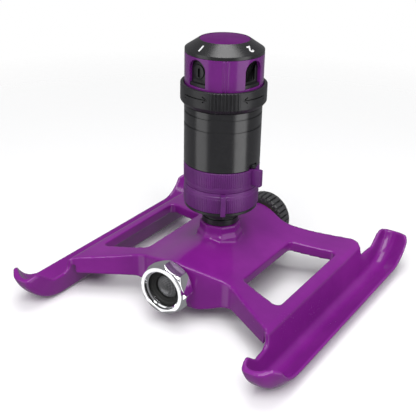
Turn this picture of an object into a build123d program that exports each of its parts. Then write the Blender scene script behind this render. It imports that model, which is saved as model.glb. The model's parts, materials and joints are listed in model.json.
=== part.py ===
"""Gear-drive lawn sprinkler on a cast sled base.

Millimetres. The origin lies on the ground under the axis of the head, +Z is up, X runs from skid to
skid, -Y points to the hose nut and +Y to the capped rear outlet.
"""
from build123d import *
from math import acos, cos, exp, pi, radians, sin, sqrt, tan
import os

# Running and parting clearances
slip = 0.05            # radial play of a shaft or ring in its bearing
gap = 0.3              # air between pieces that move past each other
fit = 0.1              # play around pins that slide in slots

# Base casting: overall width, water pipe and crowned plate
skid_half = 106.0      # outer lip from the middle
skid_width = 29.0      # from the ridge to the outer lip
pipe_z = 28.5          # height of the water pipe's axis, and of the hose nut
pipe_r = 15.1          # outside radius of the pipe housing
bore_r = 9.5           # water way
plate_wall = 2.8       # thickness of plate, skirt and skids
ridge_x = skid_half - skid_width   # where the plate meets the skid
ridge_z = 28.2         # height of the plate there
plate_slope = 0.09     # fall of the wings towards the ridges
crown_spread = 27.0    # how far the crown over the pipe spreads
skirt_z = 15.6         # lower edge of the skirt on the arms
belly_drop = 6.2       # how much lower the skirt hangs round the pipe
belly_spread = 30.0
nose_wall = 11.0       # solid depth of the housing's front, behind the nut
nose_lean = 5.0        # how far the foot of that front leans back
nose_lean_z = 30.0     # it leans below this height

# Base casting: outline seen from above
nose_y = 59.6
nose_round = 33.0
waist_x = 35.0
waist_y = 45.0
waist_round = 14.0
front_corner_round = 3.0
rear_nose_y = 60.5
rear_nose_round = 45.0
rear_waist_x = 24.0
rear_waist_y = 51.8
rear_corner_round = 8.0
curl_y = 75.0          # where the skids start to curl up
arm_front_y = curl_y - 2.9
arm_rear_y = curl_y - 0.15

# Windows in the plate
window_in_x = 39.5
window_out_x = ridge_x - 4.5
window_in_y = 33.0     # half length of the window at its inner side
window_out_y = 44.0    # half length at its outer side
window_round = 3.5
window_wall = 2.2
window_depth = 8.0     # depth of the walls round a window

# Skids
ridge_crest = 0.8      # flat part of the ridge
ridge_drop = 2.0       # the ridge's bevel, down and across
ridge_band = 4.0
trough_lean = 4.0      # how far the inner wall leans out on its way down
trough_floor = 3.4     # top of the runner's floor
trough_fall = 0.6      # the floor falls this much from the inner wall outwards
trough_run = 7.5
trough_round = 4.0
lip_sweep = 10.0       # radius from the floor up into the outer lip
lip_z = 11.8
lip_edge = 1.2         # bevel on the outer lip, across and down
lip_bevel = 1.6
lip_round = 0.9
runner_in = 1.2        # the flat strip that lies on the ground, from the inner wall's foot
runner_out = 11.5
runner_round = 9.0
curl_r = 33.5          # radius of the curl at the trough's floor
curl_angle = 70.0
tip_z = ridge_z - 0.8
tip_run = 25.0         # how far past the start of the curl the tip stands
tip_round = 5.0
tip_round_in = 4.0
tip_round_out = 7.0
notch_z = 17.2         # low point of the inner lip between plate and tip
notch_rise = 1.0       # it starts this much higher beside the plate
notch_start = 0.8
notch_slope = 2.0
notch_run = 12.0
notch_round = 9.0
notch_reach = 7.0      # how far outwards the notch is cut

# Boss for the head
boss_top = pipe_z + pipe_r + 9.4
boss_r = 14.7          # over the corners of the octagon
boss_foot_r = boss_r + 1.7
boss_foot_z = boss_top - 7.6
spigot_r = 10.5
spigot_len = 15.0

# The head's lengths, from the boss up
neck_h = 13.5
flange_t = 2.0
collar_h = 14.3        # each of the two arc collars
barrel_lift = 0.7      # air between the upper collar and the barrel
barrel_len = 40.3
ring_h = 14.4
ring_cup_h = 1.9       # how deep the turret's foot sits in the range ring
turret_h = 21.9
dial_h = 8.3

# The heights that follow
neck_top = boss_top + neck_h
collar_low_z = neck_top + flange_t + gap
collar_high_z = collar_low_z + collar_h + gap
barrel_z = collar_high_z + collar_h + barrel_lift
barrel_top = barrel_z + barrel_len
ring_z = barrel_top + gap
ring_top = ring_z + ring_h
turret_z = ring_top - ring_cup_h
turret_top = turret_z + turret_h
dial_top = turret_top + dial_h

# The head's radii all follow the barrel's
barrel_r = 26.05
barrel_wall = 1.85
lever_room = 2.0       # between the barrel and the fixed core, for the trip lever
core_r = barrel_r - barrel_wall - lever_room
flange_r = barrel_r - 0.55
collar_r = barrel_r + 0.02
neck_ring_r = barrel_r - 2.15
neck_ring_bore = neck_ring_r - 2.0
ring_r = barrel_r + 2.65
turret_r = barrel_r
ring_cup_r = turret_r + 0.45
dial_r = turret_r - 0.05

# Hose side
stem_r = 10.2
stem_bore_r = 8.0
stem_len = 23.0
stem_flange_r = 12.5
stem_flange_t = 1.7
nut_front_y = nose_y + 11.7   # distance of the nut's front rim from the head's axis
nut_len = 12.7
nut_corner_r = 18.0
nut_rim_r = 16.5
nut_thread_r = 13.5    # inside radius of the 3/4 inch hose thread, at its roots
nut_wall = 2.9         # back wall of the nut
nut_back_bevel = 0.3
nut_rim_h = 2.4        # round rim in front of the octagon
nut_rim_bevel = 0.6
washer_groove_r = nut_thread_r + 0.5   # the washer snaps in behind the thread
thread_relief = 0.3    # the groove runs on this far in front of the washer
washer_t = 2.6
screen_r = 7.4
screen_rise = 2.2
screen_t = 0.6
screen_rim = 1.2       # flat rim of the screen, outwards and inwards

# Rear outlet and its cap
outlet_r = 13.2
outlet_root_r = 12.0
outlet_root_len = 8.0
outlet_len = 9.6
cap_r = 19.5
cap_len = 12.8
cap_end_wall = 3.0
cap_bevel = 1.2
cap_rib_count = 26
cap_rib_depth = 0.9
cap_seal_t = 1.6

# Riser
riser_r = 8.0
riser_bore_r = 6.0
ring_web = 2.0
thrust_t = 1.4
seal_w = 3.0
seal_h = 2.4

# Barrel, its web and its bearing in the core
groove_z = (barrel_top - 12.5, barrel_top - 4.1)
groove_h = 1.0
groove_depth = 0.6
web_z = barrel_top - 10.7
web_t = 2.5
barrel_hub_r = riser_r + 3.0
thrust_r = barrel_hub_r
bearing_cap_z = web_z - 9.0
bearing_cap_t = 4.0
riser_slot_z = bearing_cap_z - 7.7
riser_slot_h = 4.5

# Drive housing: neck, flange and the fixed tube inside the collars
neck_collar_r = 12.7
neck_collar_h = 4.0
hex_r = 13.3           # over the corners
hex_bevel = 1.6
core_top = bearing_cap_z + bearing_cap_t + 1.0
bore_steps = (3.0, 2.4, 1.8, 1.2)   # the bore widens upwards, one step for each piece that seats in it
step_radii = [core_r - wall for wall in bore_steps]
o_ring_r = 0.9

# Turbine
blade_count = 12
blade_t = 1.1
blade_tilt = 38.0
turbine_h = 5.8
turbine_r = step_radii[1] - 1.2
turbine_hub_r = 5.0
turbine_shaft_r = 1.0

# Stator and reversing plate
stator_z = neck_top + 7.5
stator_t = 2.5
turbine_z = stator_z + stator_t + 1.0
jet_count = 6
jet_r = 1.7
jet_circle = turbine_r - 4.1
hub_r = 4.0
hub_drop = 3.6
reverser_r = step_radii[0] - 0.8
reverser_t = 2.0
clip_t = 0.6
clip_r = 6.0

# Gear train: spur gears that fill the core's bore between them
module = step_radii[2] / 40.8
pinion_teeth = 10
wheel_teeth = 30
ring_teeth = 50
tooth_long = 0.9 * module    # addendum of pinions
tooth_short = 0.65 * module  # addendum of wheels and of the ring gear
tooth_root = 1.1 * module    # dedendum
backlash = 0.2 * module
gear_face = 2.6
gear_gap = 0.5
arbor_r = 0.8
ring_gear_r = module * ring_teeth / 2 + 2.9
lay_angle = 180.0      # direction of the lay shaft from the middle

# Gear plates
lower_plate_z = turbine_z + turbine_h + 1.7
plate_t = 2.0
plate_space = 13.4     # between the two plates
post_r = 1.8
post_circle = step_radii[2] - 3.2
post_angles = (-60.0, 0.0, 60.0)
plate_notch_r = 2.2
plate_notches = 8

# Arc collars
collar_step = 0.45     # the plain band near the seam is this much smaller
collar_band = 3.6
lower_tab_angle = -55.0
lower_tab_out = 4.75   # the tabs stand out this far from their collars
lower_tab_t = 3.4
upper_tab_angle = -3.0
upper_tab_out = 6.4
upper_tab_t = 3.6
upper_tab_foot = 2.9   # it starts this much above its collar's foot
upper_tab_head = 0.4   # and ends this much above its collar

# Port deck and pivot on the barrel
deck_t = 2.0
deck_z = turret_z - deck_t - 0.5
port_angle = -11.0
port_circle = neck_ring_bore - 4.9
port_r = 2.6
port_seal_t = 0.9
port_seal_w = 1.6
pivot_r = 6.0
pivot_top = turret_top - 7.4
pivot_washer_t = 1.2
screw_r = 1.3
screw_len = 9.0
screw_head_r = 3.2
screw_head_t = 2.2
screw_slot = 0.9
ball_r = 1.6
spring_wire = 0.35
dimple_depth = 0.4
ball_circle = neck_ring_bore - 1.9
ball_angle = 214.0
ball_pocket = 3.0      # depth of the spring's pocket under the deck
ball_pocket_wall = 1.0

# Trip lever
trip_angle = -4.0
trip_swing = 6.0
trip_h = 4.0
trip_nub_half = 2.6    # half width of the nub, degrees
trip_nub_r = barrel_r + 1.55
trip_nub_h = 2.4
trip_spring_half = 28.0
trip_wire = 0.9

# Range ring
ring_bevel = 2.2
ring_bevel_h = 3.0
ring_edge = 0.5
grip_angle = -56.0
grip_half = 19.0
grip_ribs = 9
grip_rib_t = 1.1
grip_rib_h = 0.7
range_swing = 40.0
drive_pin_r = 1.0
drive_pin_angle = 79.0
drive_pin_in = 3.5     # how far it reaches into the throttle disc
drive_pin_out = 1.6    # and into the range ring
throttle_t = 2.0
throttle_bore_r = port_circle - 7.0

# Nozzle turret
turret_floor = 2.0
turret_wall = 5.0
turret_hub_r = pivot_r + 3.0
window_w = 0.5375 * turret_r   # width of each nozzle window
nozzle_window_z = turret_z + 3.0
nozzle_window_top = turret_top - 1.4
nozzle_setback = 3.4
nozzle_angles = (-101.0, -11.0, 79.0, 169.0)
nozzle_back_r = turret_hub_r + 2.0
duct_r = 2.4
rib_angle = -56.0      # the double bead between two windows
bead_w = 1.2
bead_h = 0.45
sill_h = 2.2
sill_reach = turret_r - 0.65   # the sills stand out to this radius

# Faces of the four inserts
face_shift = 0.8       # their features sit this much above the window's middle
jet_boss_r = 4.4
jet_boss_h = 1.1
jet_slot_w = 1.7
jet_slot_h = 5.6
fin_pitch = 3.6
fin_space = 1.9
fin_depth = 3.0
fin_h = 11.5
fan_w = 9.5
fan_h = 2.0
shower_pitch = 3.0
shower_r = 0.8

# Dial and disc
dial_wall = 2.5
dial_band = 2.3
dial_top_r = turret_r - 9.15
dial_spigot = 2.2
disc_r = dial_top_r - 0.5
disc_sink = 1.6
disc_dome = 0.9


def cylinder(r, z0, z1):
    return Pos(0, 0, z0) * Cylinder(r, z1 - z0, align=(Align.CENTER, Align.CENTER, Align.MIN))


def tube(r_out, r_in, z0, z1):
    return cylinder(r_out, z0, z1) - cylinder(r_in, z0 - 1, z1 + 1)


def turned(*points):
    """A solid of revolution about Z from (radius, height) points."""
    return revolve(Plane.XZ * make_face(Polyline(*points, close=True)), Axis.Z)


def on_pipe(y, shape):
    """Lays a shape built up along Z onto the pipe's axis, its foot at y, pointing to +Y."""
    return Pos(0, y, pipe_z) * Rot(-90, 0, 0) * shape


def to_hose(y, shape):
    """The same, pointing to -Y from a distance y in front of the head's axis."""
    return Pos(0, -y, pipe_z) * Rot(90, 0, 0) * shape


def rounded(corners):
    """A face from (a, b, radius) corners."""
    line = FilletPolyline(*[(a, b) for a, b, r in corners], radius=[r for a, b, r in corners], close=True)
    return make_face(line)


def turn(angle, shape):
    return Rot(0, 0, angle) * shape


def around(count, shape, start=0.0):
    """Copies of a shape spaced evenly about Z."""
    return [turn(start + 360.0 * k / count, shape) for k in range(count)]


def sector(r_in, r_out, half_angle, z0, z1):
    """A wedge of a ring, centred on +X."""
    a = radians(half_angle)
    reach = r_out / cos(a)
    wedge = make_face(Polyline((0, 0), (reach * cos(a), -reach * sin(a)), (reach * cos(a), reach * sin(a)),
                               close=True))
    return tube(r_out, r_in, z0, z1) & Pos(0, 0, z0) * extrude(wedge, amount=z1 - z0)


# Base casting

def crown_z(x):
    """Height of the plate's upper face at a distance x from the middle."""
    wing = ridge_z + plate_slope * (ridge_x - abs(x))
    middle = ridge_z + plate_slope * ridge_x
    return wing + (pipe_z + pipe_r - middle) * exp(-(x / crown_spread) ** 2)


def skirt_low(x):
    return skirt_z - belly_drop * exp(-(x / belly_spread) ** 4)


def across(places, height, shift=0.0):
    """A smooth line over the plate's width, through height(x) at the given places on both sides."""
    xs = [-x for x in reversed(places)] + [x for x in places if x > 0]
    return Spline(*[(x, height(x) + shift) for x in xs])


def slab(upper, lower):
    """The closed region between two lines over the width, drawn out along Y."""
    sides = [Line(upper @ k, lower @ k) for k in (0, 1)]
    return extrude(Plane.XZ * make_face([upper, lower] + sides), amount=curl_y + ridge_band, both=True)


crown_places = [ridge_x * k for k in (0, 0.1, 0.2, 0.32, 0.45, 0.6, 0.8, 1)]
wall_top_x = ridge_x + ridge_band
edge_x = wall_top_x + slip
arm_slope = (arm_front_y - waist_y) / (edge_x - waist_x)
rear_arm_slope = (arm_rear_y - rear_waist_y) / (edge_x - rear_waist_x)


def plan(inset=0.0, nose_inset=0.0):
    """The plate's outline from above, as a tall prism. The insets move front and rear edge inwards."""
    right_front = [(waist_x, inset - waist_y, waist_round), (edge_x, inset - arm_front_y, front_corner_round)]
    right_rear = [(edge_x, arm_rear_y - inset, rear_corner_round),
                  (rear_waist_x, rear_waist_y - inset, waist_round)]
    left_rear = [(-x, y, r) for x, y, r in reversed(right_rear)]
    left_front = [(-x, y, r) for x, y, r in reversed(right_front)]
    nose = [(0, nose_inset - nose_y, nose_round)]
    rear_nose = [(0, rear_nose_y - inset, rear_nose_round)]
    corners = nose + right_front + right_rear + rear_nose + left_rear + left_front
    return extrude(rounded(corners), amount=boss_top)


def window(grow=0.0):
    """One window's prism; a positive grow makes the block that its walls are cut from."""
    r = window_round + grow
    corners = [(window_in_x - grow, -window_in_y - grow, r), (window_out_x + grow, -window_out_y - grow, r),
               (window_out_x + grow, window_out_y + grow, r), (window_in_x - grow, window_in_y + grow, r)]
    return extrude(rounded(corners), amount=boss_top)


def skid_section():
    """Ridge, inner wall, trough floor and outer lip of the right skid, as seen along Y."""
    foot_x = wall_top_x + trough_lean
    return rounded([
        (ridge_x, ridge_z, 0.0), (ridge_x + ridge_crest, ridge_z, 0.6), (wall_top_x, ridge_z - ridge_drop, 1.2),
        (foot_x, trough_floor + trough_fall, trough_round), (foot_x + trough_run, trough_floor, lip_sweep),
        (skid_half - lip_edge, lip_z, lip_round), (skid_half, lip_z - lip_bevel, lip_round),
        (foot_x + runner_out, 0.0, runner_round), (foot_x - runner_in, 0.0, trough_round),
        (wall_top_x - plate_wall, ridge_z - ridge_drop - plate_wall, 1.0),
        (ridge_x, ridge_z - plate_wall, 0.0)])


def skid():
    """The right skid: a straight run with an upward curl at both ends, trimmed to its lips."""
    section = skid_section()
    straight = extrude(Plane.XZ * section, amount=curl_y, both=True)
    keep = Pos(wall_top_x - plate_wall, 0, 0) * Box(2 * skid_half, 4 * curl_y, 4 * boss_top,
                                                    align=(Align.MIN, Align.CENTER, Align.CENTER))
    ridge = straight & plan()
    trough_face = (Plane.XZ * section) & keep
    hinge = Axis((0, curl_y, curl_r + trough_floor), (1, 0, 0))
    curl = revolve(Pos(0, curl_y, 0) * trough_face, hinge, revolution_arc=curl_angle)
    trough = (straight & keep) + curl + mirror(curl, Plane.XZ)
    far = curl_y + 2 * curl_r
    high = boss_top + curl_r
    inner_x = wall_top_x - 2 * plate_wall
    front_start = waist_y + arm_slope * (ridge_x - waist_x) + notch_start
    rear_start = rear_waist_y + rear_arm_slope * (ridge_x - rear_waist_x) - rear_corner_round
    for side, start in ((-1, front_start), (1, rear_start)):
        lip = rounded([(side * start, high, 0.0), (side * (start + notch_slope), notch_z + notch_rise, 5.0),
                       (side * (curl_y + notch_run), notch_z, notch_round),
                       (side * (curl_y + tip_run), tip_z, tip_round),
                       (side * far, tip_z, 0.0), (side * far, high, 0.0)])
        trough -= Pos(inner_x, 0, 0) * extrude(Plane.YZ * lip, amount=2 * plate_wall + notch_reach)
    tips = rounded([(inner_x, -1, 0), (skid_half + 1, -1, 0), (skid_half + 1, high, 0), (inner_x, high, 0)])
    tips -= rounded([(wall_top_x - 0.6, -5, 0), (skid_half + slip, -5, 0),
                     (skid_half + slip, tip_z, tip_round_out), (wall_top_x - 0.6, tip_z, tip_round_in)])
    tip_cut = Pos(0, far, 0) * extrude(Plane.XZ * tips, amount=far - curl_y - notch_run)
    trough = trough - tip_cut - mirror(tip_cut, Plane.XZ)
    return ridge + trough


def base_casting():
    upper = across(crown_places, crown_z)
    plate = slab(upper, across(crown_places, crown_z, -plate_wall))
    full = slab(upper, across(crown_places, skirt_low))
    collar = slab(upper, across(crown_places, crown_z, -window_depth))
    outline = plan()
    body = (plate & outline) + (full & (outline - plan(plate_wall, nose_wall)))
    pipe_end = rear_waist_y - plate_wall
    pipe = on_pipe(nose_wall - nose_y, cylinder(pipe_r, 0, nose_y - nose_wall + pipe_end))
    body += pipe & full
    front_y = nose_y - nose_wall / 2
    lean = make_face(Polyline((-nose_y, nose_lean_z), (-nose_y, -1), (nose_lean - front_y, -1), close=True))
    body -= extrude(Plane.YZ * lean, amount=waist_x, both=True)
    windows = [window(), mirror(window(), Plane.YZ)]
    frames = [window(window_wall), mirror(window(window_wall), Plane.YZ)]
    body = body + [frame & collar for frame in frames]
    body = body - windows
    octagon = RegularPolygon(boss_r, 8, rotation=45.0 + grip_angle)
    foot = RegularPolygon(boss_foot_r, 8, rotation=45.0 + grip_angle)
    boss = Pos(0, 0, pipe_z) * extrude(octagon, amount=boss_top - pipe_z)
    boss += Pos(0, 0, pipe_z) * extrude(foot, amount=boss_foot_z - pipe_z)
    body = body + boss + skid() + mirror(skid(), Plane.YZ)
    body -= cylinder(spigot_r, boss_top - spigot_len, boss_top + 1)
    body -= Pos(0, 0, boss_top) * Torus(spigot_r, o_ring_r)
    body -= cylinder(bore_r, pipe_z, boss_top)
    body -= on_pipe(-nose_y, cylinder(bore_r, 0, 2 * nose_y))
    body -= to_hose(stem_seat_y - stem_len, cylinder(stem_r, 0, nose_y))
    body -= on_pipe(outlet_y - outlet_root_len, cylinder(outlet_root_r, 0, nose_y))
    return body


# Hose nut and inlet

nut_back_y = nut_front_y - nut_len
stem_seat_y = nut_back_y + nut_wall + stem_flange_t + slip   # front face of the stem's flange
outlet_y = rear_nose_y - rear_nose_round * (
    sqrt(1 + ((rear_nose_y - rear_waist_y) / rear_waist_x) ** 2) - 1)


def swivel_nut():
    """Octagonal nut with a round rim; its corners are turned off at both ends."""
    blank = extrude(RegularPolygon(nut_corner_r, 8), amount=nut_len)
    slope = nut_corner_r - nut_rim_r
    rim_z = nut_len - nut_rim_h
    blank &= turned((0, 0), (nut_rim_r - nut_back_bevel, 0), (nut_corner_r, slope), (nut_corner_r, rim_z - slope),
                    (nut_rim_r, rim_z + slope / 2), (nut_rim_r, nut_len), (0, nut_len))
    rim = turned((0, rim_z), (nut_rim_r, rim_z), (nut_rim_r, nut_len - nut_rim_bevel),
                 (nut_rim_r - nut_rim_bevel, nut_len), (0, nut_len))
    nut = blank + rim
    nut -= cylinder(nut_thread_r, nut_wall, nut_len + 1)
    nut -= cylinder(washer_groove_r, nut_wall, stem_seat_y + washer_t + thread_relief - nut_back_y)
    nut -= cylinder(stem_r + slip, -1, nut_len)
    return to_hose(nut_back_y, nut)


def inlet_stem():
    """Flanged tube that holds the nut; its root is pressed into the casting."""
    tail = stem_len
    stem = cylinder(stem_r, -tail, 0) + cylinder(stem_flange_r, -stem_flange_t, 0)
    return to_hose(stem_seat_y, stem - cylinder(stem_bore_r, -tail - 1, 1))


def hose_washer():
    ring = tube(washer_groove_r, screen_r, 0, washer_t)
    groove = cylinder(screen_r + screen_rim, -1, screen_t)
    return to_hose(stem_seat_y, ring - groove)


def filter_screen():
    """Domed screen; its rim lies under the washer."""
    r = (screen_r ** 2 + screen_rise ** 2) / (2 * screen_rise)
    start = screen_t
    outer = Pos(0, 0, start + screen_rise - r) * Sphere(r)
    inner = Pos(0, 0, start + screen_rise - r) * Sphere(r - screen_t)
    above = cylinder(2 * nut_thread_r, start, start + nut_len)
    dome = (outer & above & cylinder(screen_r, 0, nut_len)) - inner
    rim = tube(screen_r + screen_rim, screen_r - screen_rim, 0, screen_t)
    return to_hose(stem_seat_y, dome + rim)


# Rear outlet

def outlet_nipple():
    nipple = cylinder(outlet_root_r, -outlet_root_len, gap) + cylinder(outlet_r, gap, outlet_len)
    return on_pipe(outlet_y, nipple - cylinder(bore_r, -outlet_root_len - 1, outlet_len + 1))


def end_cap_seal():
    seal = cylinder(outlet_r - gap, outlet_len, outlet_len + cap_seal_t)
    return on_pipe(outlet_y, seal)


def end_cap():
    """Screw cap with ribs for the fingers."""
    inside = outlet_len + cap_seal_t
    top = inside + cap_end_wall
    start = top - cap_len
    cap = turned((0, start), (cap_r - cap_bevel, start), (cap_r, start + cap_bevel), (cap_r, top - cap_bevel),
                 (cap_r - cap_bevel, top), (0, top))
    flute = Pos(cap_r, 0, start - 1) * Rot(0, 0, 45) * Box(
        sqrt(2) * cap_rib_depth, sqrt(2) * cap_rib_depth, cap_len + 2, align=(Align.CENTER, Align.CENTER, Align.MIN))
    cap -= around(cap_rib_count, flute)
    cap -= cylinder(outlet_r + gap, start - 1, inside)
    return on_pipe(outlet_y, cap)


# Drive housing

def drive_housing():
    """Neck, flange and the fixed tube that the arc collars sit on."""
    spigot = cylinder(spigot_r, boss_top - spigot_len, boss_top)
    collar = cylinder(neck_collar_r, boss_top, boss_top + neck_collar_h)
    hex_foot = boss_top + neck_collar_h
    hexagon = Pos(0, 0, hex_foot) * extrude(RegularPolygon(hex_r, 6, rotation=grip_angle),
                                            amount=neck_top - hex_foot)
    hexagon &= turned((0, hex_foot), (hex_r - hex_bevel, hex_foot), (hex_r, hex_foot + hex_bevel), (hex_r, neck_top),
                      (0, neck_top))
    body = spigot + collar + hexagon
    body += cylinder(flange_r, neck_top, neck_top + flange_t)
    body += cylinder(core_r, neck_top, core_top)
    body -= cylinder(stem_bore_r, boss_top - spigot_len - 1, core_top)
    body -= Pos(0, 0, boss_top) * Torus(spigot_r, o_ring_r)
    floor = neck_top + flange_t
    for r, start in zip(step_radii, (floor, stator_z, lower_plate_z, bearing_cap_z)):
        body -= cylinder(r, start, core_top + 1)
    return body


def neck_o_ring():
    return Pos(0, 0, boss_top) * Torus(spigot_r, o_ring_r)


def turbine_stator():
    """Jet plate with a hub that carries the turbine shaft above and the reversing plate below."""
    plate = cylinder(step_radii[1], stator_z, stator_z + stator_t)
    hub = cylinder(hub_r, stator_z - hub_drop, stator_z + stator_t)
    jet = Pos(jet_circle, 0, stator_z + stator_t / 2) * Rot(-blade_tilt, 0, 0) * Cylinder(jet_r, 4 * stator_t)
    return plate + hub - around(jet_count, jet) - cylinder(turbine_shaft_r + slip, stator_z - 1, turbine_z)


def reversing_plate():
    """Turns a little under the stator and leaves open the jets for one direction or the other."""
    top = stator_z - gap
    plate = cylinder(reverser_r, top - reverser_t, top) - cylinder(hub_r + slip, top - reverser_t - 1, top + 1)
    port = Pos(jet_circle, 0, top - reverser_t - 1) * Cylinder(
        jet_r + gap, reverser_t + 2, align=(Align.CENTER, Align.CENTER, Align.MIN))
    return plate - around(jet_count, port)


def reverser_clip():
    top = stator_z - 2 * gap - reverser_t
    ring = tube(clip_r, hub_r, top - clip_t, top)
    return ring - Pos(clip_r, 0, top) * Box(2 * clip_r, hub_r, 4 * clip_t)


# Turbine

def turbine_wheel():
    hub = cylinder(turbine_hub_r, turbine_z, turbine_z + turbine_h)
    reach = turbine_r - turbine_hub_r / 2
    blade = Pos(turbine_hub_r / 2 + reach / 2, 0, turbine_z + turbine_h / 2) * Rot(blade_tilt, 0, 0) * Box(
        reach, blade_t, 2 * turbine_h)
    space = cylinder(turbine_r, turbine_z, turbine_z + turbine_h)
    wheel = hub
    for k in range(blade_count):
        wheel += turn(360.0 * k / blade_count, blade) & space
    return wheel - cylinder(turbine_shaft_r, turbine_z - 1, turbine_z + turbine_h + 1)


def turbine_shaft():
    return cylinder(turbine_shaft_r, stator_z, first_mesh_z + gear_face)


# Gears

first_mesh_z = lower_plate_z + plate_t + gear_gap
second_mesh_z = first_mesh_z + gear_face + gear_gap
third_mesh_z = second_mesh_z + gear_face + gear_gap
ring_mesh_z = lower_plate_z + 2 * plate_t + plate_space + 2 * gear_gap
centre_distance = module * (pinion_teeth + wheel_teeth) / 2
pressure = radians(20.0)


def flank(teeth, r, play):
    """Half the angle of a tooth, or of a ring gear's space, at radius r."""
    pitch_r = module * teeth / 2
    base_r = pitch_r * cos(pressure)
    lean = acos(min(1.0, base_r / r))
    at_pitch = tan(pressure) - pressure
    here = tan(lean) - lean
    return (pi * module / 2 - play) / (2 * pitch_r) + at_pitch - here


def tooth_outline(teeth, r_root, r_tip, play, start):
    """Points round a gear with involute flanks, one tooth centred on the start angle."""
    base_r = module * teeth / 2 * cos(pressure)
    low = max(r_root, base_r)
    radii = [low + (r_tip - low) * k / 3 for k in range(4)]
    if base_r > r_root:
        radii = [r_root] + radii
    points = []
    for tooth in range(teeth):
        middle = radians(start) + 2 * pi * tooth / teeth
        rise = [(r, middle - flank(teeth, r, play)) for r in radii]
        fall = [(r, middle + flank(teeth, r, play)) for r in reversed(radii)]
        points += [(r * cos(a), r * sin(a)) for r, a in rise + fall]
    return make_face(Polyline(*points, close=True))


def spur(teeth, addendum, z, start, face=gear_face):
    pitch_r = module * teeth / 2
    outline = tooth_outline(teeth, pitch_r - tooth_root, pitch_r + addendum, backlash, start)
    return Pos(0, 0, z) * extrude(outline, amount=face)


def at_lay(shape):
    a = radians(lay_angle)
    return Pos(centre_distance * cos(a), centre_distance * sin(a), 0) * shape


def turbine_pinion():
    pinion = spur(pinion_teeth, tooth_long, first_mesh_z, lay_angle)
    return pinion - cylinder(turbine_shaft_r, first_mesh_z - 1, first_mesh_z + gear_face + 1)


def compound(wheel_z, pinion_z, wheel_start, pinion_start):
    """A wheel with a pinion above it, bored to run on its arbor."""
    top = pinion_z + gear_face
    gear = spur(wheel_teeth, tooth_short, wheel_z, wheel_start)
    gear += spur(pinion_teeth, tooth_long, pinion_z, pinion_start)
    gear += cylinder(module * pinion_teeth / 2 - tooth_root, wheel_z, top)
    return gear - cylinder(arbor_r + slip, wheel_z - 1, top + 1)


def facing(teeth, toward):
    """Start angle that puts a tooth gap in the given direction."""
    return toward + 180.0 / teeth


def first_lay_gear():
    back = lay_angle + 180.0
    return at_lay(compound(first_mesh_z, second_mesh_z, facing(wheel_teeth, back), back))


def centre_gear():
    return compound(second_mesh_z, third_mesh_z, facing(wheel_teeth, lay_angle), lay_angle)


def second_lay_gear():
    back = lay_angle + 180.0
    return at_lay(compound(third_mesh_z, ring_mesh_z, facing(wheel_teeth, back), lay_angle))


def notches(r):
    """Water passages round the edge of a gear plate."""
    slot = Pos(r, 0, lower_plate_z - 1) * Cylinder(plate_notch_r, plate_space + 3 * plate_t,
                                                   align=(Align.CENTER, Align.CENTER, Align.MIN))
    return around(plate_notches, slot, 180.0 / plate_notches)


def lower_gear_plate():
    plate = cylinder(step_radii[2], lower_plate_z, lower_plate_z + plate_t)
    plate -= notches(step_radii[2])
    plate -= cylinder(turbine_shaft_r + slip, lower_plate_z - 1, first_mesh_z)
    return plate - at_lay(cylinder(arbor_r, lower_plate_z - 1, first_mesh_z))


def upper_gear_plate():
    z = lower_plate_z + plate_t + plate_space
    plate = cylinder(step_radii[2] - fit, z, z + plate_t)
    plate -= notches(step_radii[2])
    plate -= cylinder(arbor_r, z - 1, z + plate_t + 1)
    return plate - at_lay(cylinder(module * pinion_teeth / 2 + tooth_long + gap, z - 1, z + plate_t + 1))


def gear_plate_posts():
    z = lower_plate_z + plate_t
    post = Pos(post_circle, 0, 0) * cylinder(post_r, z, z + plate_space)
    return Compound(children=[turn(a, post) for a in post_angles])


def lay_arbor():
    return at_lay(cylinder(arbor_r, lower_plate_z, ring_mesh_z + gear_face))


def centre_arbor():
    z = lower_plate_z + plate_t + plate_space
    return cylinder(arbor_r, second_mesh_z + fit, z + plate_t)


# Riser: ring gear and hollow output shaft

ring_top_z = ring_mesh_z + gear_face + gear_gap


def output_riser():
    """Ring gear, web and tube in one; slots in the tube let the water in."""
    pitch_r = module * ring_teeth / 2
    space = tooth_outline(ring_teeth, pitch_r - tooth_short, pitch_r + tooth_root, -backlash,
                          lay_angle)
    cup = cylinder(ring_gear_r, ring_mesh_z, ring_top_z + ring_web)
    cup -= Pos(0, 0, ring_mesh_z - 1) * extrude(space, amount=gear_face + 1)
    cup -= cylinder(pitch_r - tooth_short, ring_mesh_z - 1, ring_top_z)
    tube_part = tube(riser_r, riser_bore_r, ring_top_z, barrel_top)
    slot = Pos(riser_r, 0, riser_slot_z) * Box(2 * riser_r, riser_bore_r, riser_slot_h,
                                               align=(Align.CENTER, Align.CENTER, Align.MIN))
    return cup + tube_part - around(4, slot, 45.0) - cylinder(riser_bore_r, ring_top_z - 1, riser_slot_z)


def bearing_cap():
    z = bearing_cap_z
    return tube(step_radii[3], riser_r + slip, z, z + bearing_cap_t)


def thrust_washer():
    z = bearing_cap_z + bearing_cap_t
    return tube(thrust_r, riser_r + gap, z, z + thrust_t)


def riser_seal():
    """Lip seal under the bearing cap."""
    z = bearing_cap_z
    return turned((riser_r + gap, z), (riser_r + seal_w, z), (riser_r + seal_w, z - seal_h / 2),
                  (riser_r + gap, z - seal_h))


# Arc collars

def arc_collar(z, seam_up):
    """Knurled collar, still without its tab. The smaller band lies at the seam between the collars."""
    top = z + collar_h
    small = collar_r - collar_step
    body = cylinder(small, z, top)
    body += cylinder(collar_r, z, top - collar_band) if seam_up else cylinder(collar_r, z + collar_band, top)
    return body - cylinder(core_r + slip, z - 1, top + 1)


def tab(angle, reach, thick, low, high):
    """A stop that stands out from a collar."""
    start = collar_r - 2 * collar_step
    return turn(angle, Pos(start, 0, low) * Box(collar_r + reach - start, thick, high - low,
                                                align=(Align.MIN, Align.CENTER, Align.MIN)))


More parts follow.
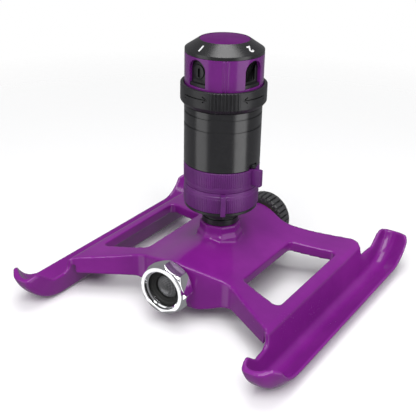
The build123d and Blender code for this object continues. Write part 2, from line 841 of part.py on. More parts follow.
def lower_arc_collar():
    z = collar_low_z
    return arc_collar(z, True) + tab(lower_tab_angle, lower_tab_out, lower_tab_t, z, z + collar_h)


def upper_arc_collar():
    z = collar_high_z
    return arc_collar(z, False) + tab(upper_tab_angle, upper_tab_out, upper_tab_t, z + upper_tab_foot,
                                      z + collar_h + upper_tab_head)


# Barrel

def barrel():
    """The sleeve that turns, with its hub on the riser, its neck for the range ring and its port deck."""
    inside = barrel_r - barrel_wall
    body = cylinder(barrel_r, barrel_z, barrel_top) - cylinder(inside, barrel_z - 1, web_z)
    body -= cylinder(neck_ring_bore, web_z + web_t, barrel_top + 1)
    for z in groove_z:
        body -= tube(barrel_r + 1, barrel_r - groove_depth, z - groove_h / 2, z + groove_h / 2)
    body += tube(barrel_hub_r, riser_r, thrust_foot_z, barrel_top)
    body += tube(neck_ring_r, neck_ring_bore, web_z, deck_z + deck_t)
    body += cylinder(neck_ring_r, deck_z, deck_z + deck_t)
    body += cylinder(pivot_r, deck_z, pivot_top)
    body -= cylinder(riser_r, thrust_foot_z - 1, barrel_top)
    deck_top = deck_z + deck_t
    body -= turn(port_angle, Pos(port_circle, 0, 0) * cylinder(port_r, deck_z - 1, deck_top + 1))
    seat = Pos(port_circle, 0, 0) * cylinder(port_r + port_seal_w, deck_top - port_seal_t + gap, deck_top + 1)
    body -= turn(port_angle, seat)
    pocket_z = deck_z - ball_pocket
    body += turn(ball_angle, Pos(ball_circle, 0, 0) * cylinder(ball_r + ball_pocket_wall,
                                                               pocket_z - ball_pocket_wall, deck_z))
    body -= turn(ball_angle, Pos(ball_circle, 0, 0) * cylinder(ball_r + slip, pocket_z, deck_top + 1))
    half = trip_nub_half + trip_swing + 1.0
    body -= turn(trip_angle, sector(core_r, barrel_r + 1, half, barrel_z - 1, trip_z + trip_nub_h + gap))
    pin_half = 180.0 / pi * drive_pin_r / neck_ring_bore
    reach = (range_swing + 2 * pin_half) / 2 + 1.0
    low, high = throttle_z - fit, throttle_z + throttle_t + fit
    for side in (0, 180):
        middle = drive_pin_angle + side + range_swing / 2
        body -= turn(middle, sector(neck_ring_bore - 1, neck_ring_r + 1, reach, low, min(high, deck_z)))
    body -= cylinder(screw_r, pivot_top - screw_len, pivot_top + 1)
    return body


thrust_foot_z = bearing_cap_z + bearing_cap_t + thrust_t + fit
throttle_z = deck_z - throttle_t - fit


def port_seal():
    z = deck_z + deck_t - port_seal_t + gap
    ring = tube(port_r + port_seal_w, port_r, z, z + port_seal_t)
    return turn(port_angle, Pos(port_circle, 0, 0) * ring)


def detent_ball():
    return turn(ball_angle, Pos(ball_circle, 0, turret_z - fit - ball_r) * Sphere(ball_r))


def detent_spring():
    """A plain coil under the ball."""
    low = deck_z - ball_pocket + spring_wire
    high = turret_z - fit - 2 * ball_r - spring_wire
    rings = [Pos(0, 0, low + (high - low) * k / 3) * Torus(ball_r - spring_wire, spring_wire) for k in range(4)]
    stack = rings[0] + rings[1:] + tube(ball_r - spring_wire, ball_r - 2 * spring_wire, low, high)
    return turn(ball_angle, Pos(ball_circle, 0, 0) * stack)


def pivot_washer():
    return tube(turret_hub_r, screw_r, pivot_top, pivot_top + pivot_washer_t)


def pivot_screw():
    z = pivot_top + pivot_washer_t
    head = cylinder(screw_head_r, z, z + screw_head_t)
    head -= Pos(0, 0, z + screw_head_t) * Box(4 * screw_head_r, screw_slot, screw_head_t)
    return head + cylinder(screw_r, pivot_top - screw_len, z)


# Trip lever

trip_z = barrel_z + gap


def trip_lever():
    """A ring inside the barrel's foot with a nub that looks out through a notch."""
    outside = barrel_r - barrel_wall - slip
    ring = tube(outside, core_r + gap, trip_z, trip_z + trip_h)
    nub = sector(core_r + 1.0, trip_nub_r, trip_nub_half, trip_z, trip_z + trip_nub_h)
    return ring + turn(trip_angle, nub)


def trip_spring():
    """Bowed wire that snaps the trip lever over; it sits above the lever in the barrel."""
    z = trip_z + trip_h + gap
    outside = barrel_r - barrel_wall
    return turn(trip_angle, sector(outside - trip_wire, outside, trip_spring_half, z, z + trip_wire))


# Range ring

def range_ring():
    """Bevelled ring with a cup for the turret's foot and a ribbed grip."""
    bevel_r = ring_r - ring_bevel
    ring = turned((neck_ring_r + slip, ring_z), (bevel_r, ring_z), (ring_r, ring_z + ring_bevel_h),
                  (ring_r, ring_top - ring_edge), (ring_r - ring_edge, ring_top), (ring_cup_r, ring_top),
                  (ring_cup_r, turret_z - gap), (neck_ring_r + slip, turret_z - gap))
    rib = Pos(ring_cup_r, 0, ring_z + ring_bevel_h) * Box(
        ring_r + grip_rib_h - ring_cup_r, grip_rib_t, ring_top - ring_edge - ring_z - ring_bevel_h,
        align=(Align.MIN, Align.CENTER, Align.MIN))
    rib -= cylinder(ring_cup_r + ring_edge, ring_z, ring_top)
    step = 2 * grip_half / (grip_ribs - 1)
    for k in range(grip_ribs):
        ring += turn(grip_angle - grip_half + step * k, rib)
    return ring - [turn(drive_pin_angle + side, drive_pin()) for side in (0, 180)]


def drive_pin():
    """Radial pin from the throttle disc out into the range ring."""
    inner = neck_ring_bore - drive_pin_in
    return Pos(inner, 0, throttle_z + throttle_t / 2) * Rot(0, 90, 0) * Cylinder(
        drive_pin_r, neck_ring_r + drive_pin_out - inner, align=(Align.CENTER, Align.CENTER, Align.MIN))


def drive_pins():
    return Compound(children=[turn(drive_pin_angle + side, drive_pin()) for side in (0, 180)])


def throttle_disc():
    z = throttle_z
    disc = tube(neck_ring_bore - slip, throttle_bore_r, z, z + throttle_t)
    disc -= [turn(drive_pin_angle + side, drive_pin()) for side in (0, 180)]
    disc -= turn(port_angle, Pos(port_circle, 0, 0) * cylinder(port_r + gap, z - 1, z + throttle_t + 1))
    pocket_r = ball_r + ball_pocket_wall + gap
    half = range_swing / 2 + 180.0 / pi * pocket_r / (ball_circle - pocket_r)
    room = sector(ball_circle - pocket_r, neck_ring_bore + 1, half, z - 1, z + throttle_t + 1)
    return disc - turn(ball_angle - range_swing / 2, room)


# Nozzle turret

def window_prism(w, z0, z1, depth, start):
    """An arched plug pointing along +X, from a radius start over a depth."""
    half = w / 2
    line = Polyline((-half, z0), (half, z0), (half, z1 - half)) + ThreePointArc(
        (half, z1 - half), (0, z1), (-half, z1 - half)) + Line((-half, z1 - half), (-half, z0))
    return Pos(start, 0, 0) * extrude(Plane.YZ * make_face(line), amount=depth)


nozzle_face_r = turret_r - nozzle_setback
floor_top = turret_z + turret_floor


def nozzle_turret():
    shell = tube(turret_r, turret_r - turret_wall, turret_z, turret_top)
    shell += cylinder(turret_r, turret_z, floor_top)
    shell += cylinder(turret_hub_r, turret_z, pivot_top - gap)
    bead = Pos(turret_r - 2 * bead_h, 0, floor_top) * Box(3 * bead_h, bead_w, turret_top - floor_top, align=(
        Align.MIN, Align.CENTER, Align.MIN))
    shell += [turn(rib_angle, Pos(0, offset, 0) * bead) for offset in (-bead_w, bead_w)]
    shell -= cylinder(pivot_r + slip, turret_z - 1, pivot_top + 1)
    opening = window_prism(window_w, nozzle_window_z, nozzle_window_top, turret_wall + 4, turret_r - turret_wall - 2)
    duct = Pos(port_circle, 0, 0) * cylinder(duct_r, turret_z - 1, floor_top + 1)
    dimple = Pos(ball_circle, 0, turret_z - ball_r + dimple_depth) * Sphere(ball_r)
    for angle in nozzle_angles:
        shell -= turn(angle, opening)
        shell -= turn(angle, duct)
        shell -= turn(angle + ball_angle - port_angle, dimple)
    return shell


def nozzle_blank():
    """The common body of the inserts: a plug that fills its window, with a water duct from the floor."""
    inside = turret_r - turret_wall
    plug = window_prism(window_w, nozzle_window_z, nozzle_window_top, nozzle_face_r - nozzle_back_r, nozzle_back_r)
    sill = Pos(nozzle_back_r, 0, nozzle_window_z) * Box(turret_r - nozzle_back_r, window_w, sill_h, align=(
        Align.MIN, Align.CENTER, Align.MIN))
    block = window_prism(window_w, floor_top, nozzle_window_top, inside - nozzle_back_r, nozzle_back_r)
    block &= cylinder(inside, floor_top, turret_top - dial_spigot)
    plug -= cylinder(inside, turret_top - dial_spigot, turret_top)
    body = plug + (sill & cylinder(sill_reach, nozzle_window_z, turret_top)) + block
    return body - Pos(port_circle, 0, 0) * cylinder(duct_r, floor_top - 1, nozzle_mid_z)


nozzle_mid_z = (nozzle_window_z + nozzle_window_top) / 2


def port_hole(w, h):
    """A slot through the face of an insert, from its duct outwards."""
    return Pos(port_circle, 0, nozzle_mid_z) * Box(2 * turret_r, w, h, align=(Align.MIN, Align.CENTER,
                                                                             Align.CENTER))


def round_nozzle():
    body = nozzle_blank()
    boss = Pos(nozzle_face_r - jet_boss_h, 0, nozzle_mid_z + face_shift) * Rot(0, 90, 0) * Cylinder(
        jet_boss_r, 2 * jet_boss_h, align=(Align.CENTER, Align.CENTER, Align.MIN))
    return turn(nozzle_angles[0], body + boss - port_hole(jet_slot_w, jet_slot_h))


def finned_nozzle():
    body = nozzle_blank()
    for offset in (-fin_pitch, 0, fin_pitch):
        body -= Pos(nozzle_face_r - fin_depth, offset, nozzle_mid_z + face_shift) * Box(
            2 * fin_depth, fin_space, fin_h, align=(Align.MIN, Align.CENTER, Align.CENTER))
    return turn(nozzle_angles[1], body - port_hole(fin_space / 2, fin_pitch))


def flat_nozzle():
    body = nozzle_blank()
    body -= Pos(nozzle_face_r - fan_h, 0, nozzle_mid_z + face_shift) * Box(2 * fan_h, fan_w, fan_h, align=(
        Align.MIN, Align.CENTER, Align.CENTER))
    return turn(nozzle_angles[2], body - port_hole(fan_w / 2, fan_h / 2))


def shower_nozzle():
    body = nozzle_blank()
    spread = (-shower_pitch, 0, shower_pitch)
    for row in spread:
        for column in spread:
            body -= Pos(port_circle, column, nozzle_mid_z + row) * Rot(0, 90, 0) * Cylinder(
                shower_r, turret_r, align=(Align.CENTER, Align.CENTER, Align.MIN))
    return turn(nozzle_angles[3], body)


# Dial and disc

def top_dial():
    """Bevelled cover of the turret with a seat for the disc."""
    cover = turned((0, turret_top), (dial_r, turret_top), (dial_r, turret_top + dial_band),
                   (dial_top_r, dial_top), (0, dial_top))
    cover += cylinder(turret_r - turret_wall, turret_top - dial_spigot, turret_top)
    cover -= cylinder(disc_r, dial_top - disc_sink, dial_top + 1)
    return cover - cylinder(turret_r - turret_wall - dial_wall, turret_top - dial_spigot - 1,
                            dial_top - disc_sink - dial_wall)


def top_disc():
    r = (disc_r ** 2 + disc_dome ** 2) / (2 * disc_dome)
    low = dial_top - disc_sink
    disc = cylinder(disc_r, low, dial_top + disc_dome)
    return disc & Pos(0, 0, dial_top + disc_dome - r) * Sphere(r)


nodes = (base_casting, inlet_stem, swivel_nut, hose_washer, filter_screen, outlet_nipple, end_cap_seal, end_cap,
         drive_housing, neck_o_ring, turbine_stator, reversing_plate, reverser_clip, turbine_wheel, turbine_shaft,
         turbine_pinion, first_lay_gear, centre_gear, second_lay_gear, lower_gear_plate, upper_gear_plate,
         gear_plate_posts, lay_arbor, centre_arbor, output_riser, bearing_cap, thrust_washer, riser_seal,
         lower_arc_collar, upper_arc_collar, barrel, port_seal, detent_ball, detent_spring, pivot_washer,
         pivot_screw, trip_lever, trip_spring, range_ring, drive_pins, throttle_disc, nozzle_turret, round_nozzle,
         finned_nozzle, flat_nozzle, shower_nozzle, top_dial, top_disc)

if __name__ == "__main__":
    os.makedirs("parts", exist_ok=True)
    for make in nodes:
        export_step(make(), f"parts/{make.__name__}.step")
    print(len(nodes), "pieces written")
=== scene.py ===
# %% [markdown]
# # A gear-drive lawn sprinkler
#
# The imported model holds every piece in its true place. This script gives those pieces their looks: soft
# edges, ribs, threads and print, then paint, plastic, chrome and rubber. Last come a floor, lamps and a
# camera.

# %% Load the model
import json
from math import atan2, cos, pi, radians, sin, sqrt, tan

import bmesh
import bpy
from mathutils import Matrix, Vector


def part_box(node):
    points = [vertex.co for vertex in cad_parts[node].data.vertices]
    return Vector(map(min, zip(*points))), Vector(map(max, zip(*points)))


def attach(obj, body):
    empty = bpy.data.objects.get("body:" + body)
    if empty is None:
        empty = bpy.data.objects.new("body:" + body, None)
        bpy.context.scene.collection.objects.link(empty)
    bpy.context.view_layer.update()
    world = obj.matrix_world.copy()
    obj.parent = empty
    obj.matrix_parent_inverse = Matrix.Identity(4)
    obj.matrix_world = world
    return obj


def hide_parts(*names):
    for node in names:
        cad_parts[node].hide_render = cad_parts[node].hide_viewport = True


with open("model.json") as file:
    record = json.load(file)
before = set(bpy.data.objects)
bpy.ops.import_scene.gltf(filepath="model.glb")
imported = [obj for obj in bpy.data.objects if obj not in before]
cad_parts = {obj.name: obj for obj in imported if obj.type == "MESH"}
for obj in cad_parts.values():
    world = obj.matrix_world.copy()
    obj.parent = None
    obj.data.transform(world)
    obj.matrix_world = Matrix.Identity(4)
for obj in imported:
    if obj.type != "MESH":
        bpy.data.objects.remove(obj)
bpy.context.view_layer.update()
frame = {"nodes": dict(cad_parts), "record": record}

MM = 0.001
scene = bpy.context.scene
nodes = frame["nodes"]
record = frame["record"]
body_of = {node: body for body, group in record["behaviour"]["bodies"].items() for node in group}
slot_of = {part["node"]: part["material_slot"] for part in record["subparts"]}

# %% [markdown]
# ## Shader maths
#
# A number that varies over a surface is wrapped in `Value`, so that ordinary Python expressions build the
# Math nodes. `Surface` owns one material: it adds any other node, mixes colours and makes bumps.

# %% Values that vary over a surface


def put(tree, socket, value):
    """Gives a socket a link or a plain value."""
    if isinstance(value, Value):
        value = value.socket
    if isinstance(value, bpy.types.NodeSocket):
        tree.links.new(value, socket)
    elif isinstance(value, (tuple, list)) and len(value) == 3 and socket.type == "RGBA":
        socket.default_value = (*value, 1.0)
    else:
        socket.default_value = value


class Value:
    def __init__(self, tree, socket):
        self.tree, self.socket = tree, socket

    def join(self, operation, left, right, clamp=False):
        node = self.tree.nodes.new("ShaderNodeMath")
        node.operation = operation
        node.use_clamp = clamp
        put(self.tree, node.inputs[0], left)
        put(self.tree, node.inputs[1], right)
        return Value(self.tree, node.outputs[0])

    def __add__(self, other):
        return self.join("ADD", self, other)

    def __radd__(self, other):
        return self.join("ADD", other, self)

    def __sub__(self, other):
        return self.join("SUBTRACT", self, other)

    def __rsub__(self, other):
        return self.join("SUBTRACT", other, self)

    def __mul__(self, other):
        return self.join("MULTIPLY", self, other)

    def __rmul__(self, other):
        return self.join("MULTIPLY", other, self)

    def __truediv__(self, other):
        return self.join("DIVIDE", self, other)

    def __rtruediv__(self, other):
        return self.join("DIVIDE", other, self)

    def __pow__(self, other):
        return self.join("POWER", self, other)

    def above(self, level, width):
        """0 below the level, 1 above it, with a soft step of the given width."""
        return self.join("MULTIPLY", self - level, 1.0 / width, clamp=True)


# %% Surfaces


class Surface:
    def __init__(self, name, **constants):
        self.material = bpy.data.materials.new(name)
        self.material.use_nodes = True
        self.tree = self.material.node_tree
        self.shader = self.tree.nodes["Principled BSDF"]
        self.place = self.node("ShaderNodeTexCoord", {}, {}, "Object").socket
        for socket, value in constants.items():
            put(self.tree, self.shader.inputs[socket.replace("_", " ")], value)

    def node(self, kind, settings, sockets, out=0):
        """One node: its settings first, then its sockets. Gives one of its outputs."""
        node = self.tree.nodes.new(kind)
        for name, value in settings.items():
            setattr(node, name, value)
        for name, value in sockets.items():
            put(self.tree, node.inputs[name], value)
        return Value(self.tree, node.outputs[out])

    def stretched(self, x, y, z):
        """Object coordinates scaled per axis, for streaks."""
        return self.node("ShaderNodeMapping", {}, {"Vector": self.place, "Scale": (x, y, z)}).socket

    def noise(self, per_metre, detail, rough, vector=None):
        return self.node("ShaderNodeTexNoise", {}, {"Vector": vector or self.place, "Scale": per_metre,
                                                    "Detail": detail, "Roughness": rough}, "Fac")

    def mix(self, share, a, b):
        """A colour between a and b."""
        node = self.tree.nodes.new("ShaderNodeMix")
        node.data_type = "RGBA"
        for index, value in ((0, share), (6, a), (7, b)):
            put(self.tree, node.inputs[index], value)
        return Value(self.tree, node.outputs[2])

    def edges(self, sharp):
        """1 on outer edges of a dense mesh, 0 elsewhere."""
        return self.node("ShaderNodeNewGeometry", {}, {}, "Pointiness").above(0.5 + sharp, 0.05)

    def feed(self, **links):
        for socket, value in links.items():
            put(self.tree, self.shader.inputs[socket.replace("_", " ")], value)
        return self

    def bump(self, height, strength, depth):
        normal = self.node("ShaderNodeBump", {}, {"Height": height, "Strength": strength, "Distance": depth},
                           "Normal")
        return self.feed(Normal=normal)


# %% [markdown]
# ## The finishes
#
# Every finish starts from the same idea: a broad blotch shifts the colour a little, and a fine grain moves
# the roughness and the bump. The share of each depends on how the real surface is made.
#
# Each line of the table gives the main colour and the one it shifts to. Then come the roughness and how far
# it varies, blotches and grains per metre, and the bump's depth in metres and its strength.

# %% One recipe for painted, moulded and machined surfaces


def finish(name, colour, other, rough, spread, blotch, grain, depth, strength, streak=None, dust=None,
           edge_highlight=None, **constants):
    """streak stretches the grain; dust is the colour of specks; worn is the colour of a painted highlight on
    thin outer edges, in patches.
    """
    surface = Surface(name, **constants)
    broad = surface.noise(blotch, 4.0, 0.6)
    fine = surface.noise(grain, 5.0, 0.55)
    tone = surface.mix(broad.above(0.35, 0.3), colour, other)
    height = fine
    if streak:
        lines = surface.noise(1.0, 3.0, 0.6, surface.stretched(*streak))
        height = fine * 0.4 + lines * 0.6
    roughness = rough + (height - 0.5) * spread + (broad - 0.5) * spread
    if dust:
        speck = surface.noise(blotch * 7, 6.0, 0.7).above(0.62, 0.1)
        tone = surface.mix(speck * 0.35, tone, dust)
        roughness = roughness + speck * 0.12
    # Painted highlight: a lighter colour along thin outer edges, in patches from a noise
    if edge_highlight:
        highlight_mask = surface.edges(0.03) * surface.noise(160, 5.0, 0.7).above(0.52, 0.12)
        tone = surface.mix(highlight_mask * 0.5, tone, edge_highlight)
    surface.feed(Base_Color=tone, Roughness=roughness)
    return surface.bump(height, strength, depth)


finishes = {
    # The paint's light lavender on thin edges is a painted highlight
    "base_paint": finish("glossy_purple_paint", (0.215, 0.014, 0.245), (0.165, 0.009, 0.195), 0.24, 0.10, 18,
                         900, 0.00006, 0.12, edge_highlight=(0.36, 0.13, 0.45), Coat_Weight=0.45, Coat_Roughness=0.05,
                         Specular_IOR_Level=0.2),
    "collar": finish("satin_purple_plastic", (0.125, 0.016, 0.160), (0.095, 0.011, 0.125), 0.40, 0.14, 60,
                     2600, 0.00005, 0.25, IOR=1.5),
    "turret": finish("glossy_purple_plastic", (0.145, 0.012, 0.180), (0.115, 0.009, 0.145), 0.22, 0.10, 50,
                     2200, 0.00003, 0.15, Coat_Weight=0.3, Coat_Roughness=0.1, Specular_IOR_Level=0.35),
    "body": finish("charcoal_plastic", (0.018, 0.018, 0.0195), (0.012, 0.012, 0.013), 0.36, 0.20, 120, 1500,
                   0.00006, 0.35, dust=(0.050, 0.050, 0.053), IOR=1.5),
    "sleeve": finish("smooth_charcoal_plastic", (0.010, 0.010, 0.011), (0.007, 0.007, 0.008), 0.22, 0.10, 140,
                     900, 0.00003, 0.15, dust=(0.022, 0.022, 0.024), Specular_IOR_Level=0.9),
    "dial": finish("polished_charcoal_plastic", (0.012, 0.012, 0.013), (0.009, 0.009, 0.010), 0.28, 0.08, 150,
                   1200, 0.00002, 0.15, Specular_IOR_Level=0.7),
    "disc": finish("deep_purple_disc", (0.105, 0.006, 0.125), (0.088, 0.005, 0.105), 0.36, 0.12, 150, 2000,
                   0.00003, 0.2, Specular_IOR_Level=0.08),
    "cap": finish("dull_grey_plastic", (0.052, 0.052, 0.054), (0.038, 0.038, 0.040), 0.42, 0.16, 150, 1500,
                  0.00006, 0.3, dust=(0.07, 0.07, 0.07)),
    "insert": finish("black_nozzle_plastic", (0.011, 0.011, 0.012), (0.007, 0.007, 0.008), 0.35, 0.16, 150,
                     2500, 0.00004, 0.25, IOR=1.5),
    "chrome_nut": finish("bright_chrome", (0.90, 0.90, 0.91), (0.80, 0.80, 0.82), 0.06, 0.06, 90, 1800,
                         0.00002, 0.06, Metallic=1.0),
    "brass_tube": finish("turned_brass", (0.68, 0.46, 0.18), (0.50, 0.33, 0.13), 0.30, 0.20, 80, 2000,
                         0.00003, 0.3, streak=(200, 6000, 200), Metallic=1.0),
    "rubber_seal": finish("black_rubber", (0.008, 0.008, 0.008), (0.014, 0.014, 0.013), 0.62, 0.20, 200, 3000,
                          0.00008, 0.4, dust=(0.05, 0.048, 0.045)),
    "screen_mesh": finish("woven_steel_wire", (0.38, 0.38, 0.39), (0.27, 0.27, 0.28), 0.38, 0.20, 300, 4000,
                          0.00004, 0.4, Metallic=0.8),
    "steel": finish("plain_steel", (0.55, 0.55, 0.56), (0.42, 0.42, 0.43), 0.28, 0.18, 120, 2500, 0.00002,
                    0.3, streak=(900, 900, 9000), Metallic=1.0),
    "acetal": finish("white_acetal", (0.72, 0.70, 0.65), (0.62, 0.60, 0.55), 0.40, 0.16, 90, 2200, 0.00003,
                     0.25, IOR=1.48),
    "grey_plastic": finish("grey_filled_plastic", (0.13, 0.13, 0.14), (0.08, 0.08, 0.09), 0.50, 0.20, 150,
                           3000, 0.00005, 0.35),
    "print": finish("white_print", (0.80, 0.80, 0.80), (0.62, 0.62, 0.63), 0.50, 0.20, 400, 4000, 0.00002,
                    0.3),
}
print(len(finishes), "finishes")

# %% Every node of the model gets its finish; the visible ones are dressed further below
for name, node in nodes.items():
    node.data.materials.clear()
    node.data.materials.append(finishes[slot_of[name]].material)

# %% [markdown]
# ## Tools for shapes
#
# Outlines are rounded at their corners and turned about Z, with a ripple for ribs. Pieces that the model
# already has in full are welded from its mesh and get small rounded edges, so that they catch the light.

# %% Making a piece of the object


def piece(name, mesh, node, finish_name=None, hides=True, sharp=32):
    """A finished mesh becomes a piece: shaded, painted, and carried by the body of its node."""
    mesh.shade_smooth()
    mesh.set_sharp_from_angle(angle=radians(sharp))
    mesh.materials.clear()
    mesh.materials.append(finishes[finish_name or slot_of[node]].material)
    obj = bpy.data.objects.new(name, mesh)
    scene.collection.objects.link(obj)
    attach(obj, body_of[node])
    if hides:
        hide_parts(node)
    return obj


def to_mesh(name, bm, matrix=None, weld=1e-4):
    """Closes a bmesh in millimetres into a mesh in metres."""
    bmesh.ops.remove_doubles(bm, verts=bm.verts, dist=weld)
    bmesh.ops.transform(bm, matrix=Matrix.Scale(MM, 4) @ (matrix or Matrix.Identity(4)), verts=bm.verts)
    bmesh.ops.recalc_face_normals(bm, faces=bm.faces)
    mesh = bpy.data.meshes.new(name)
    bm.to_mesh(mesh)
    bm.free()
    return mesh


def modified(mesh, modifiers):
    """The mesh after modifiers, given as (type, settings) pairs."""
    obj = bpy.data.objects.new("working_copy", mesh)
    scene.collection.objects.link(obj)
    for kind, settings in modifiers:
        modifier = obj.modifiers.new(kind.lower(), kind)
        for name, value in settings.items():
            setattr(modifier, name, value)
    result = bpy.data.meshes.new_from_object(obj.evaluated_get(bpy.context.evaluated_depsgraph_get()))
    bpy.data.objects.remove(obj)
    return result


# %% Rounded outlines and turned shapes


def outline(corners, steps=3):
    """A closed line through (a, b, radius) corners with each corner rounded."""
    points = []
    for k, (a, b, r) in enumerate(corners):
        here = Vector((a, b))
        if not r:
            points.append(here)
            continue
        before = (Vector(corners[k - 1][:2]) - here).normalized()
        after = (Vector(corners[(k + 1) % len(corners)][:2]) - here).normalized()
        half = before.angle(after) / 2
        centre = here + (before + after).normalized() * (r / sin(half))
        first = here + before * (r / tan(half)) - centre
        last = here + after * (r / tan(half)) - centre
        start = atan2(first.y, first.x)
        sweep = (atan2(last.y, last.x) - start + pi) % (2 * pi) - pi
        points += [centre + r * Vector((cos(start + sweep * i / steps), sin(start + sweep * i / steps)))
                   for i in range(steps + 1)]
    return points


def turned(points, segments, ripple=None):
    """Turns a closed (radius, height) line about Z. ripple(angle, radius, height) adds to the radius."""
    bm = bmesh.new()
    rings = []
    for k in range(segments):
        a = 2 * pi * k / segments
        ring = []
        for r, z in points:
            grown = r + (ripple(a, r, z) if ripple else 0.0)
            ring.append(bm.verts.new((grown * cos(a), grown * sin(a), z)))
        rings.append(ring)
    for k, ring in enumerate(rings):
        after = rings[(k + 1) % segments]
        for i in range(len(points)):
            bm.faces.new((ring[i - 1], after[i - 1], after[i], ring[i]))
    return bm


def block(bm, low, high, matrix, edge):
    """Adds a box with rounded edges."""
    made = bmesh.ops.create_cube(bm, size=1.0)["verts"]
    size = Vector(high) - Vector(low)
    bmesh.ops.scale(bm, vec=size, verts=made)
    bmesh.ops.translate(bm, vec=(Vector(low) + Vector(high)) / 2, verts=made)
    sides = {e for v in made for e in v.link_edges}
    made = bmesh.ops.bevel(bm, geom=list(sides), offset=edge, segments=3, profile=0.5, affect="EDGES")["verts"]
    bmesh.ops.transform(bm, matrix=matrix, verts=made)


def rounded_copy(name, node, edge, steps=2, finish_name=None):
    """The node's own shape, welded and with its sharp edges rounded."""
    bm = bmesh.new()
    bm.from_mesh(nodes[node].data)
    bmesh.ops.scale(bm, vec=(1 / MM,) * 3, verts=bm.verts)
    bmesh.ops.remove_doubles(bm, verts=bm.verts, dist=1e-4)
    bmesh.ops.dissolve_limit(bm, angle_limit=radians(0.5), verts=bm.verts, edges=bm.edges)
    corners = [e for e in bm.edges if len(e.link_faces) == 2 and e.calc_face_angle(0) > radians(28)]
    bmesh.ops.bevel(bm, geom=corners, offset=edge, segments=steps, profile=0.5, affect="EDGES",
                    clamp_overlap=False)
    mesh = modified(to_mesh(name, bm, weld=1e-5), [("WEIGHTED_NORMAL", {"keep_sharp": True})])
    return piece(name, mesh, node, finish_name)


PIPE_Z = 28.5


def on_pipe(toward_hose=False):
    """Lays a shape built along Z on the water pipe's axis."""
    turn = radians(90 if toward_hose else -90)
    return Matrix.Translation((0, 0, PIPE_Z)) @ Matrix.Rotation(turn, 4, "X")


# %% [markdown]
# ## The sled base
#
# The casting has no sharp edge anywhere. An even skin of small cells over the model's shape, smoothed a few
# times, gives the soft edges that the paint's highlights run along.

# %% Cast base
cell, rounds, kept_share = 0.00075, 13, 0.3
casting = modified(nodes["base_casting"].data.copy(), [
    ("REMESH", {"mode": "VOXEL", "voxel_size": cell, "use_smooth_shade": True}),
    ("SMOOTH", {"factor": 0.5, "iterations": rounds}),
    ("DECIMATE", {"ratio": kept_share}),
])
piece("cast_sled_base", casting, "base_casting", sharp=60)
print("casting:", len(casting.polygons), "faces")

# %% [markdown]
# ## The hose side
#
# The nut keeps its octagon and gains a thread. The washer is a soft ring, and the screen is woven from wires
# that follow its dome.

# %% Swivel nut with its thread
rounded_copy("swivel_hose_nut", "swivel_nut", 0.35, 3)
threads_per_inch = 11.5
pitch = 25.4 / threads_per_inch
thread_r, thread_depth, thread_runout = 13.5, 0.85, 1.0
nut_front = -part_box("swivel_nut")[0].y / MM
washer_front = -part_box("hose_washer")[0].y / MM


def helix(start, end, root_r, depth, per_turn=72):
    """A ridge with a rounded crest that winds along Z inside a hole."""
    bm = bmesh.new()
    turns = (end - start) / pitch
    count = int(turns * per_turn)
    shape = ((0.06, -0.42), (-0.55 * depth, -0.2), (-depth, -0.07), (-depth, 0.07), (-0.55 * depth, 0.2),
             (0.06, 0.42))
    rows = []
    for k in range(count + 1):
        share = k / count
        fade = min(1.0, 12 * share, 12 * (1 - share))
        a = 2 * pi * turns * share
        z = start + (end - start) * share
        rows.append([bm.verts.new(((root_r + dr * fade) * cos(a), (root_r + dr * fade) * sin(a),
                                   z + dz * pitch)) for dr, dz in shape])
    for before, after in zip(rows, rows[1:]):
        for i in range(len(shape) - 1):
            bm.faces.new((before[i], after[i], after[i + 1], before[i + 1]))
    return bm


thread = helix(washer_front + thread_runout + 0.1, nut_front - thread_runout, thread_r, thread_depth)
piece("nut_thread", to_mesh("nut_thread", thread, on_pipe(toward_hose=True)), "swivel_nut", hides=False)

# %% Rubber washer with a raised lip
washer_back, washer_r, hole_r = -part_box("hose_washer")[1].y / MM, 13.95, 8.2
lip = 0.5
ring = outline([(hole_r, washer_back, 0.3), (washer_r, washer_back, 0.3), (washer_r, washer_front, 0.4),
                (washer_r - 2.2, washer_front, 0.4), (washer_r - 2.8, washer_front - lip, 0.3),
                (hole_r + 1.0, washer_front - lip, 0.3), (hole_r + 0.6, washer_front, 0.2),
                (hole_r, washer_front, 0.2)])
piece("rubber_hose_washer", to_mesh("rubber_hose_washer", turned(ring, 96), on_pipe(toward_hose=True)),
      "hose_washer")

# %% Woven screen: two sets of wires over the dome, which itself gets a black finish as painted shade behind them
screen_back = -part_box("filter_screen")[1].y / MM
screen_front = -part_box("filter_screen")[0].y / MM
dome_foot, dome_r = screen_back + 0.6, 8.15
rise = screen_front - dome_foot
ball = (dome_r ** 2 + rise ** 2) / (2 * rise)


def wire(bm, points, r, sides=6):
    """Adds a thin round wire through points."""
    rows = []
    for k, here in enumerate(points):
        along = (points[min(k + 1, len(points) - 1)] - points[max(k - 1, 0)]).normalized()
        side = along.cross(Vector((0, 0, 1))).normalized()
        up = side.cross(along)
        rows.append([bm.verts.new(here + r * (cos(2 * pi * i / sides) * side + sin(2 * pi * i / sides) * up))
                     for i in range(sides)])
    for before, after in zip(rows, rows[1:]):
        for i in range(sides):
            bm.faces.new((before[i - 1], after[i - 1], after[i], before[i]))


wire_r, wire_gap = 0.2, 1.05
bm = bmesh.new()
count = int(dome_r / wire_gap)
for direction in (0, 1):
    for k in range(-count, count + 1):
        offset = k * wire_gap
        half = sqrt(max(dome_r ** 2 - offset ** 2, 0.01))
        line = []
        steps = max(4, int(4 * half / wire_gap))
        for i in range(steps + 1):
            t = -half + 2 * half * i / steps
            lift = sqrt(max(ball ** 2 - offset ** 2 - t ** 2, 0)) - ball + rise
            weave = wire_r * 0.7 * cos(pi * t / wire_gap + pi * (k + direction))
            x, y = (t, offset) if direction else (offset, t)
            line.append(Vector((x, y, dome_foot + lift - 1.2 * wire_r + weave)))
        wire(bm, line, wire_r)
piece("woven_screen", to_mesh("woven_screen", bm, on_pipe(toward_hose=True), 1e-6), "filter_screen",
      hides=False)
# The dome takes the black insert finish: painted shade behind the wires
nodes["filter_screen"].data.materials[0] = finishes["insert"].material

